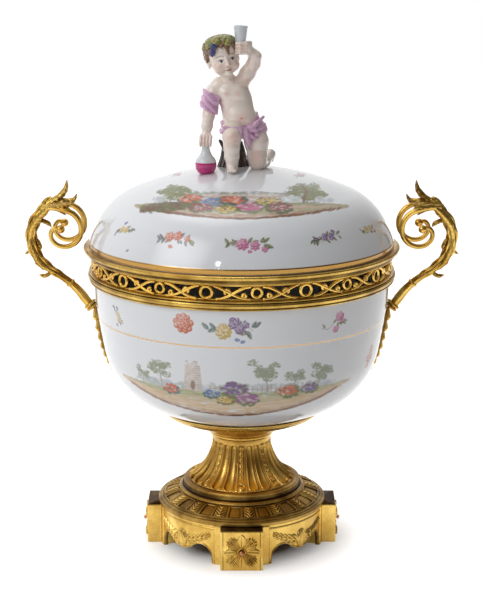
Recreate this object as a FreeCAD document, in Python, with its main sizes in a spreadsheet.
import FreeCAD, Part
import math
import os
import Sketcher
from FreeCAD import Placement, Rotation, Vector

# Covered potpourri vase of painted porcelain in gilt bronze mounts, in millimetres.
# The frame has +Z up, its origin at the centre of the base on the floor, and the front towards -Y.
# The vase stands on four block feet. A tie rod through base, stem and dish holds the bowl.
# The pierced collar lies on the bowl's rim, and the cover rests loose on the collar.

doc = FreeCAD.newDocument("PotpourriVase")
sheet = doc.addObject("Spreadsheet::Sheet", "Sizes")

DRIVING_SIZES = {
    # Feet and aprons
    "foot_reach": 91.8,
    "foot_width": 40.2,
    "foot_height": 38.9,
    "foot_inner_reach": 62.0,
    "pier_radius": 81.0,
    "pier_half_angle": 18.9,
    "apron_radius": 80.5,
    "apron_thickness": 4.0,
    "apron_arch_radius": 12.5,
    "apron_arch_offset": 22.0,
    "apron_arch_spring": 5.5,
    "pendant_half_width": 4.0,
    "pendant_drop": 10.0,
    "rosette_radius": 17.5,
    "rosette_heart_radius": 6.0,
    "rosette_relief": 2.6,
    "petal_relief": 1.8,
    "rosette_height": 18.6,
    "rosette_petals": 8,
    "pin_ball_radius": 2.3,
    "pin_shank_radius": 1.1,
    "pin_shank_length": 9.0,
    # Base plate, step and stem
    "plate_radius": 81.6,
    "plate_edge_height": 5.8,
    "plate_edge_round": 1.5,
    "slope_outer_radius": 76.0,
    "slope_inner_radius": 60.0,
    "slope_foot_rise": 1.1,
    "slope_rise": 6.2,
    "plate_hollow_radius": 54.0,
    "plate_wall": 5.0,
    "panel_count": 16,
    "panel_angle": 9.6,
    "panel_depth": 0.9,
    "panel_margin": 2.2,
    "panel_turn": 17.2,
    "step_bead_radius": 1.3,
    "step_wall_radius": 57.0,
    "step_top_radius": 55.0,
    "step_height": 10.2,
    "stem_foot_radius": 51.0,
    "stem_foot_lip": 1.3,
    "stem_waist_radius": 34.0,
    "stem_waist_rise": 17.8,
    "stem_neck_radius": 27.8,
    "stem_neck_rise": 34.8,
    "stem_top_radius": 29.4,
    "stem_height": 43.8,
    "stem_sweep_radius": 62.0,
    "stem_neck_curve": 26.4,
    "flute_count": 24,
    "flute_share": 0.4,
    "flute_sink": 0.35,
    "husk_every": 3,
    "husk_share": 0.3,
    "neck_ring_radius": 30.4,
    "neck_ring_height": 5.0,
    # Dish under the bowl
    "dish_rim_radius": 80.3,
    "dish_rim_drop": 0.7,
    "dish_height": 26.0,
    "dish_bead_radius": 57.0,
    "dish_bead_rise": 12.8,
    "dish_wall": 3.2,
    "pedestal_radius": 20.0,
    "seat_washer_thickness": 1.0,
    # Bowl
    "bowl_flat_radius": 50.0,
    "bowl_belly_radius": 97.5,
    "bowl_belly_rise": 13.4,
    "bowl_shoulder_radius": 131.6,
    "bowl_shoulder_rise": 62.4,
    "bowl_rim_radius": 142.2,
    "bowl_height": 136.1,
    "bowl_wall": 5.5,
    "bowl_foot_curve": 90.9,
    "bowl_belly_curve": 75.3,
    "bowl_side_curve": 747.0,
    # Collar
    "fit_gap": 0.4,
    "collar_skirt": 5.7,
    "collar_bead_radius": 146.2,
    "collar_band_radius": 142.0,
    "collar_band_thickness": 2.4,
    "collar_mouth_radius": 136.2,
    "lower_flange": 3.3,
    "gallery_height": 14.0,
    "gallery_repeats": 10,
    "gallery_rail": 1.1,
    "gallery_turn": 23.4,
    "big_ring_radius": 6.6,
    "small_ring_radius": 5.6,
    "scroll_radius": 8.2,
    "scroll_offset": 25.5,
    "scroll_strip": 2.0,
    "upper_ring_radius": 150.0,
    "upper_ring_height": 8.7,
    "upper_ring_round": 2.2,
    # Cover
    "cover_gap": 0.25,
    "cover_rim_radius": 144.3,
    "cover_rim_band": 4.6,
    "cover_corner_radius": 136.4,
    "cover_corner_rise": 21.0,
    "cover_shoulder_radius": 103.8,
    "cover_shoulder_rise": 51.0,
    "cover_height": 72.5,
    "cover_wall": 5.0,
    "cover_lip_depth": 11.5,
    "cover_lip_wall": 4.0,
    "cover_lip_gap": 1.2,
    "cover_edge_curve": 100.0,
    "cover_corner_curve": 60.0,
    # Tie rod and its fittings
    "rod_radius": 3.0,
    "rod_clearance": 1.0,
    "nut_flats": 12.0,
    "nut_thickness": 5.0,
    "washer_radius": 12.0,
    "washer_thickness": 2.0,
    "cap_radius": 9.0,
    "cap_height": 10.0,
    # Handles
    "arm_reach": 200.3,
    "arm_depth": 5.2,
    "arm_knot_height": 236.0,
    "knot_radius": 6.2,
    "crest_height": 355.0,
    "scroll_spread": 19.0,
    "handle_scroll_radius": 15.8,
    "volute_curve_radius": 7.0,
    "handle_tube_radius": 2.2,
    "volute_ball_radius": 4.0,
    "tail_length": 63.0,
    "tail_husks": 7,
    "tail_half_width": 4.6,
    "tail_relief": 2.4,
    "stud_radius": 1.5,
    "stud_hole_clearance": 0.3,
    "stud_nut_flats": 8.0,
    "stud_nut_thickness": 4.0,
    "stud_washer_radius": 7.0,
    "stud_washer_thickness": 2.0,
    "washer_wall_gap": 0.15,
    # Figure on the cover
    "figure_height": 131.9,
    "flask_bulb_radius": 9.9,
    "flask_neck_radius": 3.1,
    "flask_height": 34.0,
    "beaker_rim_radius": 6.7,
    "beaker_foot_radius": 4.6,
    "beaker_height": 17.0,
    "beaker_wall": 0.9,
}


class Size:
    """A number together with the sheet expression that it comes from."""

    def __init__(self, text, number):
        self.text = text
        self.number = number

    def __float__(self):
        return self.number

    def __add__(self, other):
        other = as_size(other)
        return Size("(%s + %s)" % (self.text, other.text), self.number + other.number)

    def __sub__(self, other):
        other = as_size(other)
        return Size("(%s - %s)" % (self.text, other.text), self.number - other.number)

    def __mul__(self, other):
        other = as_size(other)
        return Size("(%s * %s)" % (self.text, other.text), self.number * other.number)

    def __truediv__(self, other):
        other = as_size(other)
        return Size("(%s / %s)" % (self.text, other.text), self.number / other.number)

    def __neg__(self):
        return Size("(0 - %s)" % self.text, -self.number)


class SizeSet:
    """Every driving size by its name, such as S.foot_width."""


def as_size(value):
    """Give a plain number as a Size."""
    if isinstance(value, Size):
        return value
    return Size("(%r)" % float(value), float(value))


def root(size):
    return Size("sqrt(%s)" % size.text, math.sqrt(size.number))


def sine(size):
    return Size("sin(%s)" % size.text, math.sin(math.radians(size.number)))


def cosine(size):
    return Size("cos(%s)" % size.text, math.cos(math.radians(size.number)))


def fill_sheet():
    """Write the driving sizes into the sheet and return them by name."""
    sizes = SizeSet()
    for row, (alias, number) in enumerate(DRIVING_SIZES.items(), start=1):
        cell = "A%d" % row
        sheet.set(cell, str(number))
        sheet.setAlias(cell, alias)
        setattr(sizes, alias, Size("Sizes." + alias, float(number)))
    doc.recompute()
    return sizes


S = fill_sheet()
SUB_PARTS = []

# Heights of the seats between the pieces, from the floor up
PLATE_TOP = S.foot_height + S.plate_edge_height
SLOPE_FOOT = PLATE_TOP + S.slope_foot_rise
STEP_FLOOR = SLOPE_FOOT + S.slope_rise
STEM_FLOOR = STEP_FLOOR + S.step_height
NECK_FLOOR = STEM_FLOOR + S.stem_height
DISH_FLOOR = NECK_FLOOR + S.neck_ring_height
SEAT_WASHER_FLOOR = DISH_FLOOR + S.dish_height - 5.4
BOWL_FLOOR = SEAT_WASHER_FLOOR + S.seat_washer_thickness
BOWL_RIM = BOWL_FLOOR + S.bowl_height
GALLERY_FLOOR = BOWL_RIM + S.lower_flange
UPPER_RING_FLOOR = GALLERY_FLOOR + S.gallery_height
COLLAR_TOP = UPPER_RING_FLOOR + S.upper_ring_height
COVER_FLOOR = COLLAR_TOP + S.cover_gap
COVER_TOP = COVER_FLOOR + S.cover_height
BORE = S.rod_radius + S.rod_clearance


def keep(item, label):
    """List an object as a finished sub-part under its own name."""
    item.Label = label
    SUB_PARTS.append(item)
    return item


def new_body(label):
    return doc.addObject("PartDesign::Body", label)


def sketch_on(body, role, label):
    """Attach a new sketch to one of the body's own origin planes."""
    plane = [item for item in body.Origin.OriginFeatures if item.Role == role][0]
    sketch = body.newObject("Sketcher::SketchObject", label)
    sketch.AttachmentSupport = [(plane, "")]
    sketch.MapMode = "FlatFace"
    return sketch


def hold(sketch, kind, geometry, position, size):
    """Fix one coordinate of a point to a sheet expression."""
    number = sketch.addConstraint(
        Sketcher.Constraint(kind, -1, 1, geometry, position, float(size)))
    sketch.setExpression("Constraints[%d]" % number, size.text)


def arc_between(start, end, radius, side):
    """Return an arc edge and whether it runs from start to end."""
    chord = end - start
    half = chord.Length / 2
    across = Vector(-chord.y, chord.x, 0).normalize() * side
    centre = (start + end) / 2 + across * math.sqrt(max(radius ** 2 - half ** 2, 0))
    first, last = (start, end) if side > 0 else (end, start)
    from_angle = math.atan2(first.y - centre.y, first.x - centre.x)
    to_angle = math.atan2(last.y - centre.y, last.x - centre.x)
    circle = Part.Circle(centre, Vector(0, 0, 1), radius)
    return Part.ArcOfCircle(circle, from_angle, to_angle), side > 0


def draw_outline(sketch, corners):
    """Draw a closed outline whose corners are tied to the sheet.

    A corner is (x, y), or (x, y, radius, side) where an arc leaves it:
    side is +1 for a centre on the left of the way round, -1 on the right.
    """
    corners = [tuple(as_size(value) for value in corner[:2]) + tuple(corner[2:])
               for corner in corners]
    ends = []
    for number, corner in enumerate(corners):
        following = corners[(number + 1) % len(corners)]
        start = Vector(float(corner[0]), float(corner[1]), 0)
        end = Vector(float(following[0]), float(following[1]), 0)
        if len(corner) == 2:
            index = sketch.addGeometry(Part.LineSegment(start, end), False)
            ends.append((index, 1, 2))
            continue
        radius = as_size(corner[2])
        edge, forward = arc_between(start, end, float(radius), corner[3])
        index = sketch.addGeometry(edge, False)
        ends.append((index, 1, 2) if forward else (index, 2, 1))
        bend = sketch.addConstraint(Sketcher.Constraint("Radius", index, float(radius)))
        sketch.setExpression("Constraints[%d]" % bend, radius.text)
    for number, (index, start_point, end_point) in enumerate(ends):
        next_index, next_start, _ = ends[(number + 1) % len(ends)]
        sketch.addConstraint(
            Sketcher.Constraint("Coincident", index, end_point, next_index, next_start))
        hold(sketch, "DistanceX", index, start_point, corners[number][0])
        hold(sketch, "DistanceY", index, start_point, corners[number][1])


def draw_circle(sketch, centre_x, centre_y, radius):
    """Draw a circle whose centre and radius are tied to the sheet."""
    centre_x, centre_y, radius = as_size(centre_x), as_size(centre_y), as_size(radius)
    circle = Part.Circle(Vector(float(centre_x), float(centre_y), 0), Vector(0, 0, 1), float(radius))
    index = sketch.addGeometry(circle, False)
    hold(sketch, "DistanceX", index, 3, centre_x)
    hold(sketch, "DistanceY", index, 3, centre_y)
    bend = sketch.addConstraint(Sketcher.Constraint("Radius", index, float(radius)))
    sketch.setExpression("Constraints[%d]" % bend, radius.text)


def turned_body(label, corners, angle=360.0):
    """Revolve an outline of (radius, height) corners about the Z axis."""
    body = new_body(label)
    half_section = sketch_on(body, "XZ_Plane" if angle == 360.0 else "YZ_Plane", label + "_section")
    draw_outline(half_section, corners)
    turn = body.newObject("PartDesign::Revolution", label + "_turn")
    turn.Profile = half_section
    turn.ReferenceAxis = (half_section, ["V_Axis"])
    if angle == 360.0:
        turn.Angle = 360.0
    else:
        turn.Midplane = True
        turn.setExpression("Angle", angle.text)
    return body


def repeat_around(body, feature, count, label):
    """Repeat a feature round the body's Z axis and make the pattern its tip."""
    axis = [item for item in body.Origin.OriginFeatures if item.Role == "Z_Axis"][0]
    pattern = body.newObject("PartDesign::PolarPattern", label)
    pattern.Originals = [feature]
    pattern.Axis = (axis, [""])
    pattern.Angle = 360.0
    pattern.setExpression("Occurrences", count.text)
    body.Tip = pattern
    return pattern


def built_feature(label, shape, placement=None):
    """Keep a shape made by Part's functions as an object of the document."""
    feature = doc.addObject("Part::Feature", label)
    feature.Shape = shape
    if placement:
        feature.Placement = placement
    return feature


def turn_about_z(degrees):
    return Placement(Vector(0, 0, 0), Rotation(Vector(0, 0, 1), degrees))


def make_foot(name, degrees):
    """One cast block foot with a set-back pier on each side."""
    body = new_body("foot_" + name)
    plan = sketch_on(body, "XY_Plane", "foot_%s_plan" % name)
    half = S.foot_width / 2
    block_back = -root(S.pier_radius * S.pier_radius - half * half)
    pier_x = S.pier_radius * sine(S.pier_half_angle)
    pier_y = -S.pier_radius * cosine(S.pier_half_angle)
    inner_x = S.foot_inner_reach * sine(S.pier_half_angle)
    inner_y = -S.foot_inner_reach * cosine(S.pier_half_angle)
    draw_outline(plan, [
        (-half, -S.foot_reach), (half, -S.foot_reach),
        (half, block_back, S.pier_radius, 1), (pier_x, pier_y),
        (inner_x, inner_y), (-inner_x, inner_y),
        (-pier_x, pier_y, S.pier_radius, 1), (-half, block_back)])
    block = body.newObject("PartDesign::Pad", "foot_%s_block" % name)
    block.Profile = plan
    block.setExpression("Length", S.foot_height.text)
    doc.recompute()
    mark = sketch_on(body, "XZ_Plane", "foot_%s_pin_mark" % name)
    mark.setExpression("AttachmentOffset.Base.z", S.foot_reach.text)
    draw_circle(mark, 0, S.rosette_height, S.pin_shank_radius + 0.1)
    hole = body.newObject("PartDesign::Pocket", "foot_%s_pin_hole" % name)
    hole.Profile = mark
    hole.setExpression("Length", (S.pin_shank_length + 1).text)
    body.Placement = turn_about_z(degrees)
    keep(body, "foot_" + name)


def make_apron(name, degrees):
    """One curved apron between two feet: two arches with a pendant between them."""
    inner = S.apron_radius - S.apron_thickness
    body = turned_body("apron_" + name, [
        (-S.apron_radius, 0), (-inner, 0), (-inner, S.foot_height), (-S.apron_radius, S.foot_height)],
        as_size(90) - S.pier_half_angle * 2)
    doc.recompute()
    arches = sketch_on(body, "XZ_Plane", "apron_%s_arches" % name)
    spring = S.apron_arch_spring
    outer_end = S.apron_arch_offset + S.apron_arch_radius
    inner_rise = S.apron_arch_radius * 0.6
    inner_end = S.apron_arch_offset - S.apron_arch_radius * 0.8
    pendant = S.pendant_half_width
    clear = outer_end + 12
    draw_outline(arches, [
        (-clear, -1), (clear, -1), (clear, spring), (outer_end, spring, S.apron_arch_radius, 1),
        (inner_end, spring + inner_rise), (pendant, S.pendant_drop, S.pendant_half_width * 1.6, -1),
        (-pendant, S.pendant_drop), (-inner_end, spring + inner_rise, S.apron_arch_radius, 1),
        (-outer_end, spring), (-clear, spring)])
    cut = body.newObject("PartDesign::Pocket", "apron_%s_cut" % name)
    cut.Profile = arches
    cut.Type = "ThroughAll"
    cut.Midplane = True
    body.Placement = turn_about_z(degrees)
    keep(body, "apron_" + name)


def make_rosette(name, degrees):
    """One flower of pointed petals that lies on the face of a foot."""
    body = new_body("rosette_" + name)
    heart_plan = sketch_on(body, "XY_Plane", "rosette_%s_heart_plan" % name)
    draw_circle(heart_plan, 0, 0, S.rosette_heart_radius)
    draw_circle(heart_plan, 0, 0, S.pin_shank_radius + 0.1)
    heart = body.newObject("PartDesign::Pad", "rosette_%s_heart" % name)
    heart.Profile = heart_plan
    heart.setExpression("Length", S.rosette_relief.text)
    doc.recompute()
    petal_plan = sketch_on(body, "XY_Plane", "rosette_%s_petal_plan" % name)
    root_x = S.rosette_heart_radius * 0.75
    tip_x = S.rosette_radius
    draw_outline(petal_plan, [
        (root_x, 0, (tip_x - root_x) * 0.62, 1), (tip_x, 0, (tip_x - root_x) * 0.62, 1)])
    petal = body.newObject("PartDesign::Pad", "rosette_%s_petal" % name)
    petal.Profile = petal_plan
    petal.setExpression("Length", S.petal_relief.text)
    doc.recompute()
    repeat_around(body, petal, S.rosette_petals, "rosette_%s_petals" % name)
    outward = Rotation(Vector(1, 0, 0), 90)
    seat = Placement(Vector(0, -float(S.foot_reach), float(S.rosette_height)), outward)
    body.Placement = turn_about_z(degrees) * seat
    keep(body, "rosette_" + name)


def make_pins(angles):
    """The four copper pins that hold the rosettes, as one group of solids."""
    ball_radius = float(S.pin_ball_radius)
    face = float(S.rosette_relief)
    ball = Part.makeSphere(ball_radius, Vector(0, 0, face), Vector(0, 0, 1), 0, 90, 360)
    shank = Part.makeCylinder(float(S.pin_shank_radius), float(S.pin_shank_length) + face,
                              Vector(0, 0, -float(S.pin_shank_length)))
    pin = ball.fuse(shank).removeSplitter()
    seat = Placement(Vector(0, -float(S.foot_reach), float(S.rosette_height)),
                     Rotation(Vector(1, 0, 0), 90))
    pins = []
    for degrees in angles:
        copy = pin.copy()
        copy.Placement = turn_about_z(degrees) * seat
        pins.append(copy)
    keep(built_feature("rosette_pins", Part.makeCompound(pins)), "rosette_pins")


def make_base_plate():
    """Round plate with a sloping band of sunk panels, hollow underneath."""
    edge = S.plate_edge_round
    crown = PLATE_TOP - edge
    body = turned_body("base_plate", [
        (S.plate_hollow_radius, S.foot_height), (S.plate_radius - edge, S.foot_height, edge, 1),
        (S.plate_radius, S.foot_height + edge), (S.plate_radius, crown, edge, 1),
        (S.plate_radius - edge, PLATE_TOP), (S.slope_outer_radius + 1, PLATE_TOP),
        (S.slope_outer_radius, SLOPE_FOOT), (S.slope_inner_radius, STEP_FLOOR), (BORE, STEP_FLOOR),
        (BORE, STEP_FLOOR - S.plate_wall), (S.plate_hollow_radius - 4, STEP_FLOOR - S.plate_wall)])
    doc.recompute()
    panel = sketch_on(body, "XZ_Plane", "panel_section")
    lean = S.slope_rise / (S.slope_outer_radius - S.slope_inner_radius)
    low = S.slope_outer_radius - S.panel_margin
    high = S.slope_inner_radius + S.panel_margin + 1
    low_z = SLOPE_FOOT + lean * S.panel_margin
    high_z = STEP_FLOOR - lean * (S.panel_margin + 1)
    draw_outline(panel, [
        (low, low_z - S.panel_depth), (low, low_z + 3), (high, high_z + 3),
        (high, high_z - S.panel_depth)])
    sink = body.newObject("PartDesign::Groove", "panel_sink")
    sink.Profile = panel
    sink.ReferenceAxis = (panel, ["V_Axis"])
    sink.setExpression("Angle", S.panel_angle.text)
    doc.recompute()
    repeat_around(body, sink, S.panel_count, "panel_ring")
    body.setExpression("Placement.Rotation.Angle", S.panel_turn.text)
    keep(body, "base_plate")


def make_base_step():
    """Moulded step between plate and stem: a bead, a hollow and a top roll."""
    bead = S.step_bead_radius
    bead_top = STEP_FLOOR + bead * 2
    roll = (S.step_height - bead * 2) / 4
    body = turned_body("base_step", [
        (BORE, STEP_FLOOR), (S.slope_inner_radius, STEP_FLOOR, bead * 1.04, 1),
        (S.slope_inner_radius, bead_top), (S.step_wall_radius, bead_top, roll * 2.2, -1),
        (S.step_wall_radius - 0.6, STEM_FLOOR - roll * 1.4, roll * 0.9, 1),
        (S.step_top_radius, STEM_FLOOR), (BORE, STEM_FLOOR)])
    keep(body, "base_step")


# Stations of a flute along the stem, as (share of the way up, share of the full width)
FLUTE_STATIONS = [(0.03, 0.5), (0.06, 0.82), (0.1, 0.97), (0.16, 1.0), (0.4, 1.0), (0.65, 1.0),
                  (0.88, 1.0), (0.94, 0.94), (0.97, 0.78), (0.99, 0.5)]


def stem_path():
    """Return the stem's outline from its foot lip to its top, as an open wire."""
    floor = float(STEM_FLOOR)
    foot = Vector(float(S.stem_foot_radius), 0, floor + float(S.stem_foot_lip))
    waist = Vector(float(S.stem_waist_radius), 0, floor + float(S.stem_waist_rise))
    neck = Vector(float(S.stem_neck_radius), 0, floor + float(S.stem_neck_rise))

    def hollow(start, end, radius):
        """Arc from start to end that bulges towards the axis."""
        chord = end - start
        inward = Vector(-chord.z, 0, chord.x).normalize()
        if inward.x > 0:
            inward = inward * -1
        sag = radius - math.sqrt(radius ** 2 - (chord.Length / 2) ** 2)
        return Part.Arc(start, (start + end) / 2 + inward * sag, end).toShape()

    return Part.Wire([hollow(foot, waist, float(S.stem_sweep_radius)),
                      hollow(waist, neck, float(S.stem_neck_curve))])


def flute_cutter(path, share):
    """Round-ended cutter that follows the stem and widens with it."""
    per_flute = 2 * math.pi / float(S.flute_count)
    sections = []
    for where, fullness in FLUTE_STATIONS:
        along = path.Length * where
        edge = path.Edges[0]
        if along > edge.Length:
            along -= edge.Length
            edge = path.Edges[1]
        parameter = edge.getParameterByLength(min(along, edge.Length))
        point = edge.valueAt(parameter)
        tangent = edge.tangentAt(parameter)
        radius = point.x * per_flute * share
        outward = Vector(tangent.z, 0, -tangent.x)
        centre = point + outward * (radius * float(S.flute_sink))
        sections.append(Part.Wire(Part.makeCircle(radius * fullness, centre, tangent)))
    return Part.makeLoft(sections, True, False)


def make_stem():
    """Spreading stem with flutes in pairs and a narrower husk strip after each pair."""
    floor = STEM_FLOOR
    waist = floor + S.stem_waist_rise
    neck = floor + S.stem_neck_rise
    blank = turned_body("stem_blank", [
        (BORE, floor), (S.stem_foot_radius, floor),
        (S.stem_foot_radius, floor + S.stem_foot_lip, S.stem_sweep_radius, -1),
        (S.stem_waist_radius, waist, S.stem_neck_curve, -1),
        (S.stem_neck_radius, neck, (NECK_FLOOR - neck) * 3.2, -1),
        (S.stem_top_radius, NECK_FLOOR), (BORE, NECK_FLOOR)])
    path = stem_path()
    wide = flute_cutter(path, float(S.flute_share))
    narrow = flute_cutter(path, float(S.husk_share))
    step = 360.0 / float(S.flute_count)
    cutters = []
    for number in range(int(float(S.flute_count))):
        pattern = narrow if number % int(float(S.husk_every)) == 0 else wide
        cutter = pattern.copy()
        cutter.rotate(Vector(0, 0, 0), Vector(0, 0, 1), number * step - 90)
        cutters.append(cutter)
    tools = built_feature("flute_cutters", Part.makeCompound(cutters))
    stem = doc.addObject("Part::Cut", "stem")
    stem.Base = blank
    stem.Tool = tools
    keep(stem, "stem")


def make_neck_ring():
    """Rounded ring between the stem and the dish."""
    ring = S.neck_ring_height
    neck = S.neck_ring_radius - ring / 2
    body = turned_body("neck_ring", [
        (BORE, NECK_FLOOR), (neck, NECK_FLOOR, ring / 2 + 0.01, 1), (neck, DISH_FLOOR),
        (BORE, DISH_FLOOR)])
    keep(body, "neck_ring")


def make_dish():
    """Spreading dish with two rolled bands, open inside, with a pedestal for the bowl."""
    rim_top = BOWL_FLOOR + bowl_rise_at(S.dish_rim_radius - 1.2) - S.dish_rim_drop
    wall = S.dish_wall
    bead_low = DISH_FLOOR + S.dish_bead_rise
    foot = S.neck_ring_radius - S.neck_ring_height / 2
    body = turned_body("bowl_dish", [
        (BORE, DISH_FLOOR), (foot, DISH_FLOOR), (foot + 1.5, DISH_FLOOR + 1, 46, -1),
        (S.dish_bead_radius - 3, bead_low - 1.6), (S.dish_bead_radius, bead_low, 1.7, 1),
        (S.dish_bead_radius + 0.4, bead_low + 2.6, 50, -1),
        (S.dish_rim_radius - 2.4, rim_top - 3.4, 2.2, 1), (S.dish_rim_radius - 0.4, rim_top),
        (S.dish_rim_radius - 2.4, rim_top - 0.4, 80, 1),
        (S.dish_bead_radius - 1, bead_low + wall, 46, 1), (S.pedestal_radius + 2, DISH_FLOOR + wall + 0.6),
        (S.pedestal_radius, SEAT_WASHER_FLOOR), (BORE, SEAT_WASHER_FLOOR)])
    keep(body, "bowl_dish")


def bowl_rise_at(radius):
    """Height of the bowl's foot curve above its flat bottom at a radius."""
    run = radius - S.bowl_flat_radius
    return S.bowl_foot_curve - root(S.bowl_foot_curve * S.bowl_foot_curve - run * run)


def make_bowl():
    """Open porcelain bowl: flat bottom with a rod hole, round belly and upright side."""
    wall = S.bowl_wall
    belly = BOWL_FLOOR + S.bowl_belly_rise
    shoulder = BOWL_FLOOR + S.bowl_shoulder_rise
    body = turned_body("bowl", [
        (BORE, BOWL_FLOOR), (S.bowl_flat_radius, BOWL_FLOOR, S.bowl_foot_curve, 1),
        (S.bowl_belly_radius, belly, S.bowl_belly_curve, 1),
        (S.bowl_shoulder_radius, shoulder, S.bowl_side_curve, 1),
        (S.bowl_rim_radius, BOWL_RIM), (S.bowl_rim_radius - wall, BOWL_RIM, S.bowl_side_curve - wall, -1),
        (S.bowl_shoulder_radius - wall, shoulder, S.bowl_belly_curve - wall, -1),
        (S.bowl_belly_radius - wall * 0.6, belly + wall * 0.8, S.bowl_foot_curve - wall, -1),
        (S.bowl_flat_radius, BOWL_FLOOR + wall), (BORE, BOWL_FLOOR + wall)])
    doc.recompute()
    marks = sketch_on(body, "YZ_Plane", "stud_marks")
    draw_circle(marks, 0, S.arm_knot_height, S.stud_radius + S.stud_hole_clearance)
    holes = body.newObject("PartDesign::Pocket", "stud_holes")
    holes.Profile = marks
    holes.Midplane = True
    holes.Refine = False
    holes.setExpression("Length", (S.bowl_rim_radius * 2 + 10).text)
    keep(body, "bowl")


def make_lower_ring():
    """Ring with a skirt outside the bowl's rim and a flange that lies on it."""
    skirt_foot = BOWL_RIM - S.collar_skirt
    skirt_inner = S.bowl_rim_radius + S.fit_gap
    skirt_outer = skirt_inner + 0.9
    band_outer = S.collar_band_radius + 1.5
    body = turned_body("collar_lower_ring", [
        (S.collar_mouth_radius, BOWL_RIM), (skirt_inner, BOWL_RIM), (skirt_inner, skirt_foot),
        (skirt_outer, skirt_foot), (skirt_outer + 0.4, skirt_foot + 2.4, 3.4, 1),
        (S.collar_bead_radius, BOWL_RIM + 0.4, 3.4, 1), (band_outer, GALLERY_FLOOR),
        (S.collar_mouth_radius, GALLERY_FLOOR)])
    keep(body, "collar_lower_ring")


def strip_arc(centre, radius, width, start, end):
    """Flat curved strip about a centre, between two angles in degrees."""
    normal = Vector(0, -1, 0)
    outer = Part.makeCircle(radius + width / 2, centre, normal, 0, end - start)
    inner = Part.makeCircle(radius - width / 2, centre, normal, 0, end - start)
    closing = [Part.makeLine(inner.Vertexes[0].Point, outer.Vertexes[0].Point),
               Part.makeLine(outer.Vertexes[1].Point, inner.Vertexes[1].Point)]
    face = Part.Face(Part.Wire([closing[0], outer, closing[1], inner]))
    face.rotate(centre, normal, start)
    return face


def ring_face(centre, outer_radius, inner_radius):
    """Flat ring in the unrolled pattern."""
    normal = Vector(0, -1, 0)
    outer = Part.Face(Part.Wire(Part.makeCircle(outer_radius, centre, normal)))
    inner = Part.Face(Part.Wire(Part.makeCircle(inner_radius, centre, normal)))
    return outer.cut(inner)


def gallery_openings():
    """Faces of the openings of one repeat, in the unrolled band: X along it, Z up."""
    low = float(GALLERY_FLOOR + S.gallery_rail)
    high = float(UPPER_RING_FLOOR - S.gallery_rail)
    middle = (low + high) / 2
    length = 2 * math.pi * float(S.collar_band_radius) / float(S.gallery_repeats)
    strip = float(S.scroll_strip)
    big, small = float(S.big_ring_radius), float(S.small_ring_radius)
    curve, offset = float(S.scroll_radius), float(S.scroll_offset)
    floor_gap = high - low - 2 * small

    window = Part.Face(Part.makePolygon([
        Vector(-length / 4, 0, low), Vector(length * 3 / 4, 0, low),
        Vector(length * 3 / 4, 0, high), Vector(-length / 4, 0, high), Vector(-length / 4, 0, low)]))
    strips = [ring_face(Vector(0, 0, middle), big, big - strip)]
    for centre, mirror in ((0, 1), (length, -1)):
        eye = Vector(centre + mirror * offset, 0, low + curve - strip * 0.6)
        strips.append(strip_arc(eye, curve - strip / 2, strip, 180, 360))
        for side in (-1, 1):
            post = eye + Vector(side * (curve - strip / 2), 0, 0)
            strips.append(Part.makePlane(strip, high - eye.z + 0.1, post - Vector(strip / 2, 0, 0),
                                         Vector(0, -1, 0), Vector(1, 0, 0)))
        curl = eye + Vector(mirror * curve * 0.3, 0, curve * 0.35)
        curl_start, curl_end = (150, 240) if mirror > 0 else (-60, 390)
        strips.append(strip_arc(curl, curve * 0.42, strip * 0.8, curl_start, curl_end))
        reach = offset - big * 0.6
        hinge = Vector(centre + mirror * (big * 0.7), 0, high + reach * 0.32)
        start = 268 if mirror > 0 else 202
        strips.append(strip_arc(hinge, reach * 0.66, strip * 0.9, start, start + 70))
    small_eye = Vector(length / 2, 0, middle)
    strips.append(ring_face(small_eye, small, small - strip * 0.9))
    post_foot = Vector(length / 2 - strip / 2, 0, high - floor_gap / 2 - 1)
    strips.append(Part.makePlane(strip, floor_gap + 2, post_foot, Vector(0, -1, 0), Vector(1, 0, 0)))
    openings = window.cut(strips)
    least_area = 1.5
    return [face for face in openings.Faces if face.Area > least_area]


def make_gallery():
    """Pierced band of rings and scrolls, cut from the unrolled pattern hole by hole."""
    radius = float(S.collar_band_radius)
    thickness = float(S.collar_band_thickness)
    height = float(S.gallery_height)
    floor = float(GALLERY_FLOOR)
    band = Part.makeCylinder(radius, height, Vector(0, 0, floor)).cut(
        Part.makeCylinder(radius - thickness, height, Vector(0, 0, floor)))
    punches = []
    for face in gallery_openings():
        centre = face.CenterOfMass.x
        punch = face.translated(Vector(-centre, -(radius + 2), 0)).extrude(Vector(0, thickness + 5, 0))
        punch.rotate(Vector(0, 0, 0), Vector(0, 0, 1), math.degrees(centre / radius))
        punches.append(punch)
    step = 360.0 / float(S.gallery_repeats)
    tools = []
    for number in range(int(float(S.gallery_repeats))):
        for punch in punches:
            copy = punch.copy()
            copy.rotate(Vector(0, 0, 0), Vector(0, 0, 1), float(S.gallery_turn) + number * step)
            tools.append(copy)
    band = band.cut(Part.makeCompound(tools))
    keep(built_feature("collar_gallery", band), "collar_gallery")


def make_upper_ring():
    """Moulded top ring of the collar, on which the cover rests."""
    roll = S.upper_ring_round
    floor = UPPER_RING_FLOOR
    band = S.collar_band_radius + 1.4
    outer = S.upper_ring_radius
    body = turned_body("collar_upper_ring", [
        (S.collar_mouth_radius, floor), (band, floor, 1.2, 1), (band + 0.6, floor + 1.9),
        (band + 0.6, floor + 2.3, 6, -1), (outer - roll, COLLAR_TOP - roll * 2 - 0.3),
        (outer - roll, COLLAR_TOP - roll * 2, roll + 0.01, 1),
        (outer - roll, COLLAR_TOP), (S.collar_mouth_radius, COLLAR_TOP)])
    keep(body, "collar_upper_ring")


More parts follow.
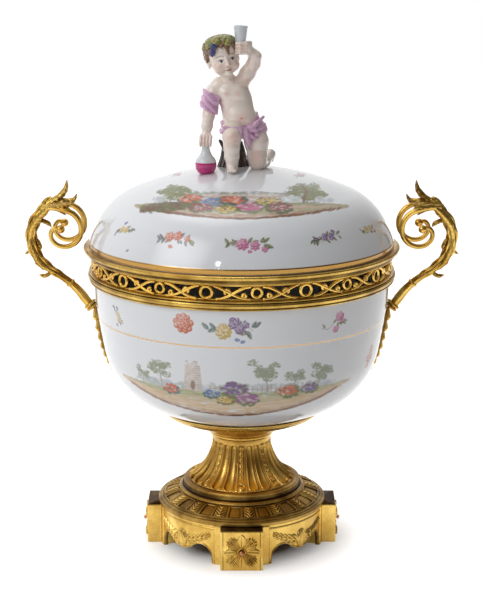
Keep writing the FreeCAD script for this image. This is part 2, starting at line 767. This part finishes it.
def make_cover():
    """Domed porcelain cover with a band at its rim and a lip inside the collar."""
    floor = COVER_FLOOR
    band_top = floor + S.cover_rim_band
    wall = S.cover_wall
    corner = floor + S.cover_corner_rise
    shoulder = floor + S.cover_shoulder_rise
    lip_outer = S.collar_mouth_radius - S.cover_lip_gap
    lip_inner = lip_outer - S.cover_lip_wall
    lip_foot = floor - S.cover_lip_depth
    crown_rise = COVER_TOP - shoulder
    crown = (S.cover_shoulder_radius * S.cover_shoulder_radius + crown_rise * crown_rise) / (crown_rise * 2)
    inner_corner = corner - wall * 0.9
    inner_shoulder = shoulder - wall * 0.9
    inner_shoulder_radius = S.cover_shoulder_radius - wall * 0.4
    inner_top = COVER_TOP - wall
    inner_rise = inner_top - inner_shoulder
    inner_square = inner_shoulder_radius * inner_shoulder_radius
    inner_crown = (inner_square + inner_rise * inner_rise) / (inner_rise * 2)
    body = turned_body("cover", [
        (lip_inner, lip_foot), (lip_outer, lip_foot), (lip_outer, floor), (S.cover_rim_radius, floor),
        (S.cover_rim_radius, band_top), (S.cover_rim_radius - 0.5, band_top + 0.5, S.cover_edge_curve, 1),
        (S.cover_corner_radius, corner, S.cover_corner_curve, 1),
        (S.cover_shoulder_radius, shoulder, crown, 1), (0, COVER_TOP), (0, inner_top, inner_crown, -1),
        (inner_shoulder_radius, inner_shoulder, S.cover_corner_curve - wall, -1),
        (lip_inner, inner_corner)])
    keep(body, "cover")


def make_prism(label, flats, thickness, bore, base, direction):
    """Hexagonal nut with a bore, along a direction."""
    corner_radius = flats / math.sqrt(3)
    corners = [Vector(corner_radius * math.cos(math.radians(60 * number)),
                      corner_radius * math.sin(math.radians(60 * number)), 0) for number in range(7)]
    nut = Part.Face(Part.makePolygon(corners)).extrude(Vector(0, 0, thickness))
    nut = nut.cut(Part.makeCylinder(bore, thickness))
    place = Placement(base, Rotation(Vector(0, 0, 1), direction))
    return keep(built_feature(label, nut, place), label)


def make_washer(label, outer, bore, thickness, base, direction):
    """Flat round washer along a direction."""
    washer = Part.makeCylinder(outer, thickness).cut(Part.makeCylinder(bore, thickness))
    place = Placement(base, Rotation(Vector(0, 0, 1), direction))
    return keep(built_feature(label, washer, place), label)


def make_tie_rod():
    """Rod through the base, stem and dish, with its nut, washers and cap inside the bowl."""
    up = Vector(0, 0, 1)
    rod_radius = float(S.rod_radius)
    bore = rod_radius + 0.1
    washer_top = float(STEP_FLOOR - S.plate_wall)
    washer_floor = washer_top - float(S.washer_thickness)
    nut_floor = washer_floor - float(S.nut_thickness)
    bowl_inside = float(BOWL_FLOOR + S.bowl_wall)
    cap_floor = bowl_inside + float(S.seat_washer_thickness)
    rod_top = cap_floor + float(S.cap_height) * 0.5
    rod_floor = nut_floor - rod_radius
    rod = doc.addObject("Part::Cylinder", "tie_rod")
    rod.setExpression("Radius", S.rod_radius.text)
    rod.Height = rod_top - rod_floor
    rod.Placement = Placement(Vector(0, 0, rod_floor), Rotation())
    keep(rod, "tie_rod")
    make_washer("tie_washer", float(S.washer_radius), bore, float(S.washer_thickness),
                Vector(0, 0, washer_floor), up)
    make_prism("tie_nut", float(S.nut_flats), float(S.nut_thickness), bore, Vector(0, 0, nut_floor), up)
    make_washer("bowl_washer", float(S.pedestal_radius), bore, float(S.seat_washer_thickness),
                Vector(0, 0, float(SEAT_WASHER_FLOOR)), up)
    make_washer("cap_washer", float(S.cap_radius) + 2, bore, float(S.seat_washer_thickness),
                Vector(0, 0, bowl_inside), up)
    cap_radius = float(S.cap_radius)
    straight = float(S.cap_height) * 0.4
    cap = Part.makeCylinder(cap_radius, straight)
    dome_height = float(S.cap_height) - straight
    dome_radius = (cap_radius ** 2 + dome_height ** 2) / (2 * dome_height)
    dome = Part.makeSphere(dome_radius, Vector(0, 0, float(S.cap_height) - dome_radius))
    dome = dome.common(Part.makeCylinder(cap_radius, dome_height, Vector(0, 0, straight)))
    socket = Part.makeCylinder(bore, rod_top - cap_floor + 0.2)
    cap = cap.fuse(dome).removeSplitter().cut(socket)
    keep(built_feature("rod_cap", cap, Placement(Vector(0, 0, cap_floor), Rotation())), "rod_cap")


def swept_limb(path, stations, side_axis):
    """Loft ellipses along a path.

    A station is (share of the length, half width across the path, half width along side_axis).
    """
    sections = []
    for share, across, along in stations:
        where = path.Length * share
        for edge in path.OrderedEdges:
            if where <= edge.Length + 1e-6:
                break
            where -= edge.Length
        reverse = edge.Orientation == "Reversed"
        along_edge = min(edge.Length - where if reverse else where, edge.Length)
        parameter = edge.getParameterByLength(max(along_edge, 0.0))
        point = edge.valueAt(parameter)
        tangent = edge.tangentAt(parameter)
        if reverse:
            tangent = tangent * -1
        side = (side_axis - tangent * side_axis.dot(tangent)).normalize()
        major_direction = side if along >= across else tangent.cross(side)
        major, minor = max(along, across), min(along, across)
        if major - minor < 1e-6:
            ring = Part.makeCircle(major, point, tangent)
        else:
            ring = Part.Ellipse(point + major_direction * major,
                                point + tangent.cross(major_direction) * minor, point).toShape()
        sections.append(Part.Wire(ring))
    return Part.makeLoft(sections, True, False)


def arc_wire(*triples):
    """Wire of arcs, each through three points."""
    return Part.Wire([Part.Arc(*triple).toShape() for triple in triples])


def on_plane(x, z, y=0.0):
    return Vector(x, y, z)


def bowl_side_radius(height):
    """Outer radius of the bowl's upright side at a height."""
    low = Vector(float(S.bowl_shoulder_radius), 0, float(BOWL_FLOOR + S.bowl_shoulder_rise))
    high = Vector(float(S.bowl_rim_radius), 0, float(BOWL_RIM))
    chord = high - low
    radius = float(S.bowl_side_curve)
    inward = Vector(-chord.z, 0, chord.x).normalize()
    centre = (low + high) / 2 + inward * math.sqrt(radius ** 2 - (chord.Length / 2) ** 2)
    return centre.x + math.sqrt(radius ** 2 - (height - centre.z) ** 2)


def handle_arm(bowl_shape):
    """S-shaped arm from the knot on the bowl to the fork under the crest."""
    reach = float(S.arm_reach)
    knot = float(S.arm_knot_height)
    depth = float(S.arm_depth)
    wall = bowl_side_radius(knot)
    start = on_plane(wall + 5.2, knot - 1)
    elbow = on_plane(reach - 14.3, knot + 36.5)
    fork = on_plane(reach - 23.1, knot + 101)
    path = arc_wire((start, on_plane(wall + 25.5, knot + 21), elbow),
                    (elbow, on_plane(reach, knot + 65), fork))
    arm = swept_limb(path, [
        (0.0, 4.6, 4.6), (0.08, 4.2, 4.6), (0.16, 4.6, 5.0), (0.27, 3.2, 3.8), (0.4, 4.8, depth),
        (0.55, 5.6, depth + 0.6), (0.7, 5.8, depth + 1), (0.85, 6.0, depth + 1), (1.0, 4.6, depth)],
        Vector(0, 1, 0))
    boss = Part.makeCylinder(float(S.knot_radius), start.x + 1.5 - wall + 3,
                             on_plane(wall - 3, knot), Vector(1, 0, 0))
    boss = boss.fuse(Part.makeSphere(float(S.knot_radius), on_plane(start.x + 1.5, knot)))
    spurs = []
    for root_x, root_z, tip_x, tip_z, thickness in (
            (reach - 5, knot + 60, reach + 7, knot + 56, 3.2),
            (reach - 12, knot + 88, reach - 23, knot + 84, 3.0),
            (reach - 11, knot + 33, reach + 0.5, knot + 40, 3.0)):
        stretch = on_plane(tip_x, tip_z) - on_plane(root_x, root_z)
        spurs.append(Part.makeCone(thickness, 0.6, stretch.Length, on_plane(root_x, root_z), stretch))
    collar_at = path.Edges[0].valueAt(path.Edges[0].getParameterByLength(path.Edges[0].Length * 0.36))
    collar_way = path.Edges[0].tangentAt(path.Edges[0].getParameterByLength(path.Edges[0].Length * 0.36))
    collar = Part.makeTorus(4.6, 1.5, collar_at, collar_way)
    arm = arm.fuse([boss, collar] + spurs)
    stud_hole = Part.makeCylinder(float(S.stud_radius) + 0.1, 12, on_plane(wall - 4, knot), Vector(1, 0, 0))
    bowl_room = Part.makeCylinder(wall + 0.05, 80, Vector(0, 0, knot - 40))
    return largest(arm.cut([stud_hole, bowl_room, bowl_shape])), fork


def handle_crest(arm, fork):
    """Pointed leaf that rises from the fork."""
    crest = float(S.crest_height)
    tip = on_plane(fork.x - 13.2, crest)
    path = arc_wire((fork, on_plane(fork.x - 8.4, (fork.z + crest) / 2 - 0.6), tip))
    leaf = swept_limb(path, [(0.0, 5.4, 5.6), (0.35, 4.6, 5.2), (0.7, 2.6, 3.6), (1.0, 0.6, 0.9)],
                      Vector(0, 1, 0))
    return largest(leaf.cut(arm))


def handle_scroll(side, fork, others):
    """C-scroll with a ball volute, beside the handle's middle plane."""
    spread = float(S.scroll_spread)
    big = float(S.handle_scroll_radius)
    small = float(S.volute_curve_radius)
    tube = float(S.handle_tube_radius)
    ball = float(S.volute_ball_radius)
    eye = on_plane(fork.x - 11.4, fork.z - 27, side * spread)
    top = eye + Vector(0, 0, big)
    left = eye + Vector(-big, 0, 0)
    bottom = eye - Vector(0, 0, big)
    turn_eye = bottom + Vector(0, 0, small)
    start = on_plane(fork.x + 5.5, fork.z - 5, side * 3.0)
    lead = on_plane(fork.x - 1.5, fork.z - 7.6, side * spread * 0.72)
    path = arc_wire((start, lead, top), (top, left, bottom),
                    (bottom, turn_eye + Vector(small, 0, 0), turn_eye + Vector(0, 0, small)))
    stations = [(number / 18.0, tube * (1.35 - 0.35 * min(number / 6.0, 1)),
                 tube * (1.35 - 0.35 * min(number / 6.0, 1))) for number in range(19)]
    scroll = swept_limb(path, stations, Vector(0, 1, 0))
    volute = Part.makeSphere(ball, turn_eye + Vector(-ball * 0.3, 0, small))
    scroll = scroll.fuse(volute)
    return largest(scroll.cut(others))


def handle_tail(bowl_shape, arm):
    """Drop of husks that tapers down the side of the bowl."""
    top = float(S.arm_knot_height - S.knot_radius) - 0.5
    length = float(S.tail_length)
    husks = int(float(S.tail_husks))
    inset = 0.4
    stations = []
    for number in range(husks * 2 + 1):
        share = number / (husks * 2.0)
        taper = 1 - 0.5 * share
        swell = 1.0 if number % 2 else 0.66
        stations.append((share, float(S.tail_relief) * taper * swell,
                         float(S.tail_half_width) * taper * swell))
    points = [on_plane(bowl_radius_at(bowl_shape, top - length * share) + inset, top - length * share)
              for share in (0.0, 0.25, 0.5, 0.75, 1.0)]
    tail = swept_limb(arc_wire(points[:3], points[2:]), stations, Vector(0, 1, 0))
    return largest(tail.cut([bowl_shape, arm]))


def bowl_radius_at(bowl_shape, height):
    """Outer radius of the bowl at a height, from a level line through its wall."""
    off_hole = 0.5
    line = Part.makeLine(Vector(0, off_hole, height), Vector(float(S.upper_ring_radius), off_hole, height))
    return line.common(bowl_shape).BoundBox.XMax


def largest(shape):
    """The largest solid of a shape, without the slivers that trimming leaves."""
    return max(shape.Solids, key=lambda solid: solid.Volume)


def stud_seat():
    """Distance from the axis of the nut's face, which presses the washer on the wall."""
    return bowl_side_radius(float(S.arm_knot_height)) - float(S.bowl_wall) - float(S.stud_washer_thickness)


def handle_washer(bowl_shape):
    """Hide washer under a stud's nut, pressed to the curve of the wall behind it."""
    seat, knot = stud_seat(), float(S.arm_knot_height)
    outward = Vector(1, 0, 0)
    blank = Part.makeCylinder(float(S.stud_washer_radius), float(S.bowl_wall), on_plane(seat, knot), outward)
    hole = float(S.stud_radius) + 0.1
    bore = Part.makeCylinder(hole, float(S.bowl_wall), on_plane(seat, knot), outward)
    wall = bowl_shape.translated(Vector(-float(S.washer_wall_gap), 0, 0))
    pressed = blank.cut(bore).cut(wall)
    return min(pressed.Solids, key=lambda solid: solid.CenterOfMass.x)


def handle_shapes(bowl_shape):
    """Shapes of a handle on the +X side: arm, crest, tail and the two scrolls by their side of Y."""
    arm, fork = handle_arm(bowl_shape)
    crest = handle_crest(arm, fork)
    minus_scroll = handle_scroll(-1, fork, [arm, crest])
    plus_scroll = handle_scroll(1, fork, [arm, crest])
    tail = handle_tail(bowl_shape, arm)
    return arm, crest, tail, minus_scroll, plus_scroll, handle_washer(bowl_shape)


def make_handle(name, degrees, shapes):
    """One handle: arm, crest, husk tail, two C-scrolls and its stud, washer and nut."""
    arm, crest, tail, minus_scroll, plus_scroll, washer = shapes
    place = turn_about_z(degrees)
    front, back = (minus_scroll, plus_scroll) if degrees == 0 else (plus_scroll, minus_scroll)
    prefix = "handle_%s_" % name
    for piece, shape in (("arm", arm), ("crest", crest), ("tail", tail), ("washer", washer),
                         ("scroll_front", front), ("scroll_back", back)):
        keep(built_feature(prefix + piece, shape, place), prefix + piece)
    knot = float(S.arm_knot_height)
    wall = bowl_side_radius(knot)
    nut_floor = stud_seat() - float(S.stud_nut_thickness)
    stud_start = nut_floor - 2
    stud = Part.makeCylinder(float(S.stud_radius), wall + 7.5 - stud_start,
                             on_plane(stud_start, knot), Vector(1, 0, 0))
    keep(built_feature(prefix + "stud", stud, place), prefix + "stud")
    inward = place.Rotation.multVec(Vector(1, 0, 0))
    bore = float(S.stud_radius) + 0.1
    make_prism(prefix + "nut", float(S.stud_nut_flats), float(S.stud_nut_thickness), bore,
               place.multVec(on_plane(nut_floor, knot)), inward)


# Stations of the kneeling figure, as (x, y, height over the cover's top, radius or half widths)
DRAWN_FIGURE_HEIGHT = 131.9
TORSO = [(1.6, 1.0, 31.0, 17.5, 12.5), (1.4, 0.5, 37.0, 20.0, 14.0), (-1.5, -0.5, 46.0, 17.2, 13.2),
         (-4.0, -1.0, 54.0, 15.6, 12.6), (-6.6, 0.0, 66.0, 17.0, 12.0), (-9.5, 1.0, 76.0, 16.6, 10.2),
         (-12.5, 0.5, 82.5, 10.0, 7.4), (-14.5, -0.5, 87.0, 5.6, 5.6)]
RAISED_ARM = [(-0.5, 0.5, 80.0, 6.6), (5.5, -0.5, 88.5, 6.8), (10.8, -2.0, 97.0, 5.6),
              (13.2, -4.0, 103.5, 5.2), (9.6, -5.6, 107.8, 5.0), (6.2, -7.2, 110.8, 3.7),
              (3.4, -8.0, 113.0, 4.8), (0.2, -8.4, 114.4, 4.4), (-1.6, -8.6, 115.0, 2.4)]
LOWERED_ARM = [(-24.0, 0.5, 76.0, 5.6), (-28.0, -0.5, 69.0, 6.8), (-30.2, -3.0, 60.0, 6.2),
               (-30.4, -6.0, 52.0, 5.4), (-31.6, -9.5, 43.0, 5.2), (-33.2, -13.5, 33.5, 3.9),
               (-33.6, -15.6, 28.5, 4.8), (-33.6, -16.8, 24.0, 2.8)]
KNEELING_LEG = [(12.0, 0.0, 36.0, 10.5), (14.2, -3.0, 24.0, 11.6), (14.8, -5.5, 12.5, 9.6),
                (14.8, -6.0, 5.0, 7.6), (17.5, -1.0, 3.8, 6.8), (21.5, 7.0, 4.0, 6.9),
                (25.0, 14.0, 4.4, 5.2), (27.4, 20.0, 5.0, 4.4), (28.8, 25.0, 4.6, 2.8)]
RAISED_LEG = [(-6.0, -1.0, 36.0, 10.0), (-8.2, -13.0, 35.0, 10.4), (-9.2, -22.0, 31.5, 8.6),
              (-9.2, -25.0, 24.0, 7.2), (-9.0, -24.0, 15.0, 7.0), (-8.8, -22.5, 7.0, 4.8),
              (-8.8, -25.0, 1.8, 4.6), (-8.8, -31.0, 0.2, 3.6)]
HEAD_CENTRE = (-17.5, -4.5, 103.2)
HEAD_HALF_SIZES = (14.6, 15.6, 18.4)
HEAD_ROLL = -13.0
HEAD_TURN = 16.0
FLASK_CENTRE = (-33.3, -18.0)
BEAKER_FOOT = (-0.9, -8.0)
STUMP = [(-7.5, 12.0, -2.0, 16.0), (-7.0, 12.5, 6.0, 13.0), (-8.0, 13.0, 14.0, 10.8),
         (-8.5, 12.0, 22.0, 9.4)]
TWIG = [(-9.0, 11.0, 12.0, 5.0), (-15.0, 7.0, 19.0, 3.2), (-21.0, 3.0, 25.0, 1.4)]
SASH = [(2.0, 0.5, 26.5, 22.0, 17.0), (1.4, -0.5, 32.0, 24.0, 18.5), (1.0, -0.5, 38.5, 22.6, 17.0),
        (0.2, -0.5, 43.5, 18.6, 14.2)]
SASH_END = [(2.9, -16.5, 36.0, 4.4), (5.0, -18.5, 31.0, 5.2), (7.4, -19.0, 24.0, 4.2),
            (7.6, -18.5, 18.0, 1.4)]
SLEEVE = [(-24.0, 2.5, 79.0, 6.5), (-28.5, 1.0, 71.0, 9.6), (-31.0, -1.0, 62.0, 9.2),
          (-31.5, -2.0, 56.0, 6.4)]
WREATH_RADIUS = 14.6
WREATH_TUBE = 2.6


def figure_point(x, y, rise):
    """Place a station of the figure on top of the cover."""
    scale = float(S.figure_height) / DRAWN_FIGURE_HEIGHT
    return Vector(x * scale, y * scale, float(COVER_TOP) + rise * scale)


def figure_scale():
    return float(S.figure_height) / DRAWN_FIGURE_HEIGHT


def lofted_limb(stations):
    """Loft circles along a chain of stations, each square to the way the limb runs."""
    points = [figure_point(*station[:3]) for station in stations]
    sections = []
    for number, station in enumerate(stations):
        before = points[max(number - 1, 0)]
        after = points[min(number + 1, len(points) - 1)]
        radius = station[3] * figure_scale()
        sections.append(Part.Wire(Part.makeCircle(radius, points[number], after - before)))
    return Part.makeLoft(sections, True, False)


def lofted_trunk(stations):
    """Loft level ellipses, wide across X, up a trunk."""
    sections = []
    for x, y, rise, half_x, half_y in stations:
        centre = figure_point(x, y, rise)
        scale = figure_scale()
        ellipse = Part.Ellipse(centre + Vector(half_x * scale, 0, 0),
                               centre + Vector(0, half_y * scale, 0), centre)
        sections.append(Part.Wire(ellipse.toShape()))
    return Part.makeLoft(sections, True, False)


def scaled_ball(centre, half_sizes, rotation):
    """Ellipsoid with given half sizes, turned about its centre."""
    ball = Part.makeSphere(1.0)
    stretch = FreeCAD.Matrix()
    stretch.scale(*[size * figure_scale() for size in half_sizes])
    ball = ball.transformGeometry(stretch)
    ball.Placement = Placement(figure_point(*centre), rotation)
    return ball


def turned_shape(corners):
    """Revolve a polygon of (radius, height) corners about Z, for small vessels."""
    points = [Vector(radius, 0, height) for radius, height in corners]
    return Part.Face(Part.makePolygon(points + points[:1])).revolve(Vector(0, 0, 0), Vector(0, 0, 1), 360)


def flask_shape():
    """Round-bellied flask with a straight neck and a rolled lip."""
    bulb = float(S.flask_bulb_radius)
    neck = float(S.flask_neck_radius)
    height = float(S.flask_height)
    x, y = FLASK_CENTRE
    spot = figure_point(x, y, 0)
    run = math.hypot(spot.x, spot.y)
    shoulder = float(COVER_TOP) - float(COVER_FLOOR + S.cover_shoulder_rise)
    crown = (float(S.cover_shoulder_radius) ** 2 + shoulder ** 2) / (2 * shoulder)
    floor = float(COVER_TOP) - crown + math.sqrt(crown ** 2 - run ** 2)
    body = Part.makeSphere(bulb, Vector(0, 0, bulb - 0.6))
    stalk = Part.makeCone(neck + 1.4, neck, height - bulb * 1.6, Vector(0, 0, bulb * 1.6))
    lip = Part.makeTorus(neck, 0.8, Vector(0, 0, height))
    flask = body.fuse([stalk, lip])
    flask.translate(Vector(spot.x, spot.y, floor))
    return flask


def beaker_shape():
    """Small open beaker held up in the raised hand."""
    foot = float(S.beaker_foot_radius)
    rim = float(S.beaker_rim_radius)
    height = float(S.beaker_height)
    wall = float(S.beaker_wall)
    beaker = turned_shape([(0, 0), (foot, 0), (rim, height), (rim - wall, height),
                           (foot - wall, wall * 2), (0, wall * 2)])
    spot = figure_point(BEAKER_FOOT[0], BEAKER_FOOT[1], DRAWN_FIGURE_HEIGHT)
    beaker.translate(Vector(spot.x, spot.y, spot.z - height))
    return beaker


def make_figure(cover_shape):
    """Kneeling wine boy of moulded porcelain pieces, each trimmed to the ones it joins."""
    tilt = Rotation(Vector(0, 1, 0), HEAD_ROLL) * Rotation(Vector(0, 0, 1), HEAD_TURN)
    head = scaled_ball(HEAD_CENTRE, HEAD_HALF_SIZES, tilt)
    wreath = Part.makeTorus(WREATH_RADIUS * figure_scale(), WREATH_TUBE * figure_scale())
    brow = figure_point(HEAD_CENTRE[0] - 1.2, HEAD_CENTRE[1] + 1, HEAD_CENTRE[2] + 6.5)
    brow_tilt = Rotation(Vector(0, 1, 0), HEAD_ROLL) * Rotation(Vector(1, 0, 0), -14)
    wreath.Placement = Placement(brow, brow_tilt)
    leg_cuts = [lofted_limb(RAISED_LEG), lofted_limb(KNEELING_LEG)]
    pieces = [
        ("putto_torso", lofted_trunk(TORSO)),
        ("putto_leg_kneeling", leg_cuts[1]),
        ("putto_leg_raised", leg_cuts[0]),
        ("putto_head", head),
        ("beaker", beaker_shape()),
        ("flask", flask_shape()),
        ("putto_arm_raised", lofted_limb(RAISED_ARM)),
        ("putto_arm_lowered", lofted_limb(LOWERED_ARM)),
        ("putto_wreath", wreath),
        ("putto_sash", lofted_trunk(SASH).fuse(lofted_limb(SASH_END))),
        ("putto_sleeve", lofted_limb(SLEEVE)),
        ("tree_stump", lofted_limb(STUMP).fuse(lofted_limb(TWIG))),
    ]
    earlier = [cover_shape]
    for label, shape in pieces:
        touching = [other for other in earlier if other.BoundBox.intersect(shape.BoundBox)]
        for other in touching:
            shape = largest(shape.cut(other))
        keep(built_feature(label, shape), label)
        earlier.append(shape)


SIDES = {"front": 0.0, "right": 90.0, "back": 180.0, "left": 270.0}
CORNERS = {"front_right": 45.0, "back_right": 135.0, "back_left": 225.0, "front_left": 315.0}

for side_name, side_angle in SIDES.items():
    make_foot(side_name, side_angle)
    make_rosette(side_name, side_angle)
for corner_name, corner_angle in CORNERS.items():
    make_apron(corner_name, corner_angle)
make_pins(SIDES.values())
make_base_plate()
make_base_step()
make_stem()
make_neck_ring()
make_dish()
make_bowl()
make_lower_ring()
make_gallery()
make_upper_ring()
make_cover()
make_tie_rod()
doc.recompute()
HANDLE_SHAPES = handle_shapes(doc.getObject("bowl").Shape)
make_handle("right", 0.0, HANDLE_SHAPES)
make_handle("left", 180.0, HANDLE_SHAPES)
make_figure(doc.getObject("cover").Shape)
doc.recompute()


def check_document():
    """Stop with a message if an object failed or a sub-part has no sound shape."""
    faults = [item.Name for item in doc.Objects if "Invalid" in item.State or "Error" in item.State]
    for item in SUB_PARTS:
        if item.Shape.isNull() or not item.Shape.isValid() or not item.Shape.Solids:
            faults.append(item.Label)
    if faults:
        raise RuntimeError("unsound objects: " + ", ".join(faults))


def export_sub_parts():
    """Write every sub-part to its own file."""
    os.makedirs("parts", exist_ok=True)
    for item in SUB_PARTS:
        item.Shape.exportStep("parts/%s.step" % item.Label)
        print(item.Label, len(item.Shape.Solids), round(item.Shape.Volume, 1))


check_document()
export_sub_parts()
